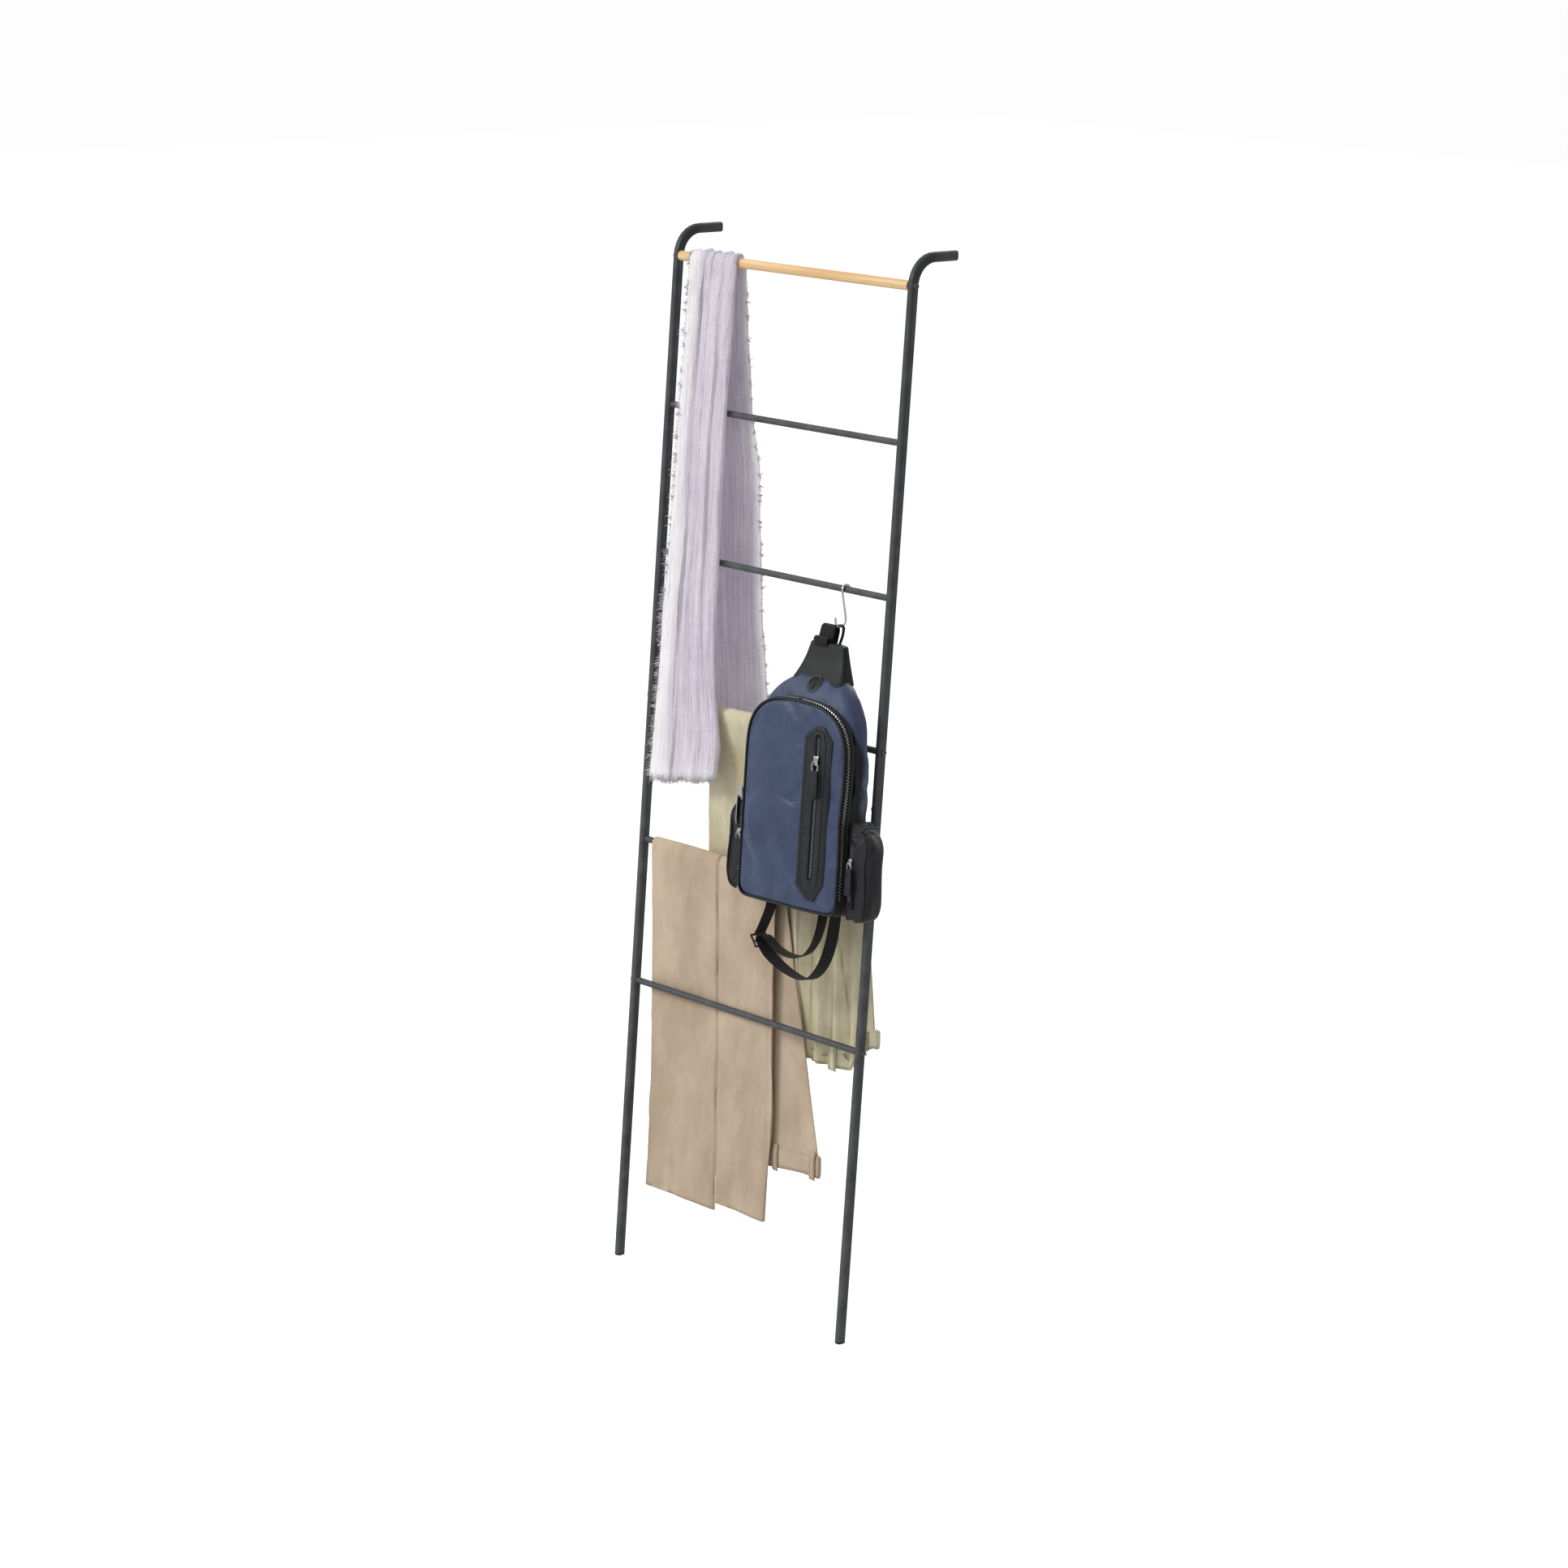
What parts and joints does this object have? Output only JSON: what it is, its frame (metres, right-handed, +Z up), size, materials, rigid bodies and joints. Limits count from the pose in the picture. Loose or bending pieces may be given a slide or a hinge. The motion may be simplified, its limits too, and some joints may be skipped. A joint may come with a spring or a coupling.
{
  "type": "leaning ladder rack with draped clothes and a bag",
  "caption": "Leaning ladder rack with hooked tube rails, round rungs and a wooden top bar, holding a gauze throw, two pairs of trousers and a backpack on an S-hook.",
  "frame": {"origin": "on the floor, midway between the centres of the two feet", "axes": "+X runs along the rungs to the right as seen from the room, +Y points to the wall, +Z is up"},
  "size_m": [0.5797, 0.2223, 1.6],
  "materials": {
    "black_coat": "satin",
    "black_plug": "matte",
    "dark_bolt": "satin",
    "bar_wood": "satin",
    "zinc_steel": "satin",
    "lilac_gauze": "matte",
    "khaki_twill": "matte",
    "beige_twill": "matte",
    "polished_wire": "polished",
    "navy_nylon": "satin",
    "ink_nylon": "matte",
    "black_leather": "satin",
    "black_webbing": "matte",
    "zip_coil": "satin",
    "zip_metal": "satin",
    "buckle_plastic": "satin"
  },
  "bodies": {
    "rack": {"left_upper_rail": "black_coat", "right_upper_rail": "black_coat", "left_lower_rail": "black_coat", "right_lower_rail": "black_coat", "left_rail_connector": "zinc_steel", "right_rail_connector": "zinc_steel", "left_foot_cap": "black_plug", "right_foot_cap": "black_plug", "left_wall_cap": "black_plug", "right_wall_cap": "black_plug", "wooden_bar": "bar_wood", "rung_2": "black_coat", "rung_3": "black_coat", "rung_4": "black_coat", "rung_5": "black_coat", "rung_6": "black_coat", "left_bar_bolt": "dark_bolt", "right_bar_bolt": "dark_bolt", "left_rung_4_bolt": "dark_bolt", "right_rung_4_bolt": "dark_bolt", "left_rung_6_bolt": "dark_bolt", "right_rung_6_bolt": "dark_bolt", "left_joint_bolt_upper": "dark_bolt", "left_joint_bolt_lower": "dark_bolt", "right_joint_bolt_upper": "dark_bolt", "right_joint_bolt_lower": "dark_bolt"},
    "throw": {"throw_cloth": "lilac_gauze"},
    "khaki_trousers": {"khaki_left_leg": "khaki_twill", "khaki_right_leg": "khaki_twill", "khaki_waistband": "khaki_twill"},
    "beige_trousers": {"beige_left_leg": "beige_twill", "beige_right_leg": "beige_twill", "beige_waistband": "beige_twill"},
    "hook": {"s_hook": "polished_wire"},
    "bag": {"bag_rear_compartment": "navy_nylon", "bag_front_compartment": "navy_nylon", "bag_body_zip": "zip_coil", "bag_cable_port": "black_leather", "bag_anchor_patch": "black_leather", "bag_handle": "black_webbing", "bag_hang_loop": "black_webbing", "front_zip_surround": "black_leather", "front_zip_coil": "zip_coil", "bag_left_pocket": "ink_nylon", "bag_right_pocket": "ink_nylon", "left_pocket_zip": "zip_coil", "right_pocket_zip": "zip_coil", "strap_short": "black_webbing", "strap_long": "black_webbing", "strap_buckle": "buckle_plastic"},
    "body_slider": {"body_zip_slider": "zip_metal"},
    "body_pull": {"body_zip_pull": "zip_metal"},
    "front_slider": {"front_zip_slider": "zip_metal"},
    "front_pull": {"front_zip_ring": "zip_metal", "front_zip_tab": "black_leather"},
    "left_slider": {"left_pocket_slider": "zip_metal"},
    "left_tab": {"left_pocket_tab": "black_leather"},
    "right_slider": {"right_pocket_slider": "zip_metal"},
    "right_tab": {"right_pocket_tab": "black_leather"}
  },
  "joints": [
    {"name": "throw_slide", "type": "slide", "parent": "rack", "child": "throw", "axis": [1, 0, 0], "range_m": [-0.01, 0.05]},
    {"name": "khaki_slide", "type": "slide", "parent": "rack", "child": "khaki_trousers", "axis": [1, 0, 0], "range_m": [-0.06, 0.03]},
    {"name": "beige_slide", "type": "slide", "parent": "rack", "child": "beige_trousers", "axis": [1, 0, 0], "range_m": [-0.01, 0.06]},
    {"name": "hook_slide", "type": "slide", "parent": "rack", "child": "hook", "axis": [1, 0, 0], "range_m": [-0.04, 0.06]},
    {"name": "bag_swing", "type": "hinge", "parent": "hook", "child": "bag", "pos_m": [0.159, 0.0578, 1.0645], "axis": [-1, 0, 0], "range_deg": [0, 22]},
    {"name": "body_slider_run", "type": "slide", "parent": "bag", "child": "body_slider", "axis": [0, 0.061, 0.9981], "range_m": [-0.11, 0.07]},
    {"name": "body_pull_hinge", "type": "hinge", "parent": "body_slider", "child": "body_pull", "pos_m": [0.0481, -0.02313, 0.80181], "axis": [0, 0.9981, -0.061], "range_deg": [0, 120]},
    {"name": "front_slider_run", "type": "slide", "parent": "bag", "child": "front_slider", "axis": [0, 0.061, 0.9981], "range_m": [-0.161, 0.024]},
    {"name": "front_pull_hinge", "type": "hinge", "parent": "front_slider", "child": "front_pull", "pos_m": [0.214, -0.03704, 0.87745], "axis": [-1, 0, 0], "range_deg": [0, 110]},
    {"name": "left_slider_run", "type": "slide", "parent": "bag", "child": "left_slider", "axis": [0, 0.061, 0.9981], "range_m": [-0.045, 0.015]},
    {"name": "left_tab_hinge", "type": "hinge", "parent": "left_slider", "child": "left_tab", "pos_m": [0.041, -0.02845, 0.73852], "axis": [-1, 0, 0], "range_deg": [0, 110]},
    {"name": "right_slider_run", "type": "slide", "parent": "bag", "child": "right_slider", "axis": [0, 0.061, 0.9981], "range_m": [-0.045, 0.015]},
    {"name": "right_tab_hinge", "type": "hinge", "parent": "right_slider", "child": "right_tab", "pos_m": [0.281, -0.02845, 0.73852], "axis": [-1, 0, 0], "range_deg": [0, 110]}
  ]
}
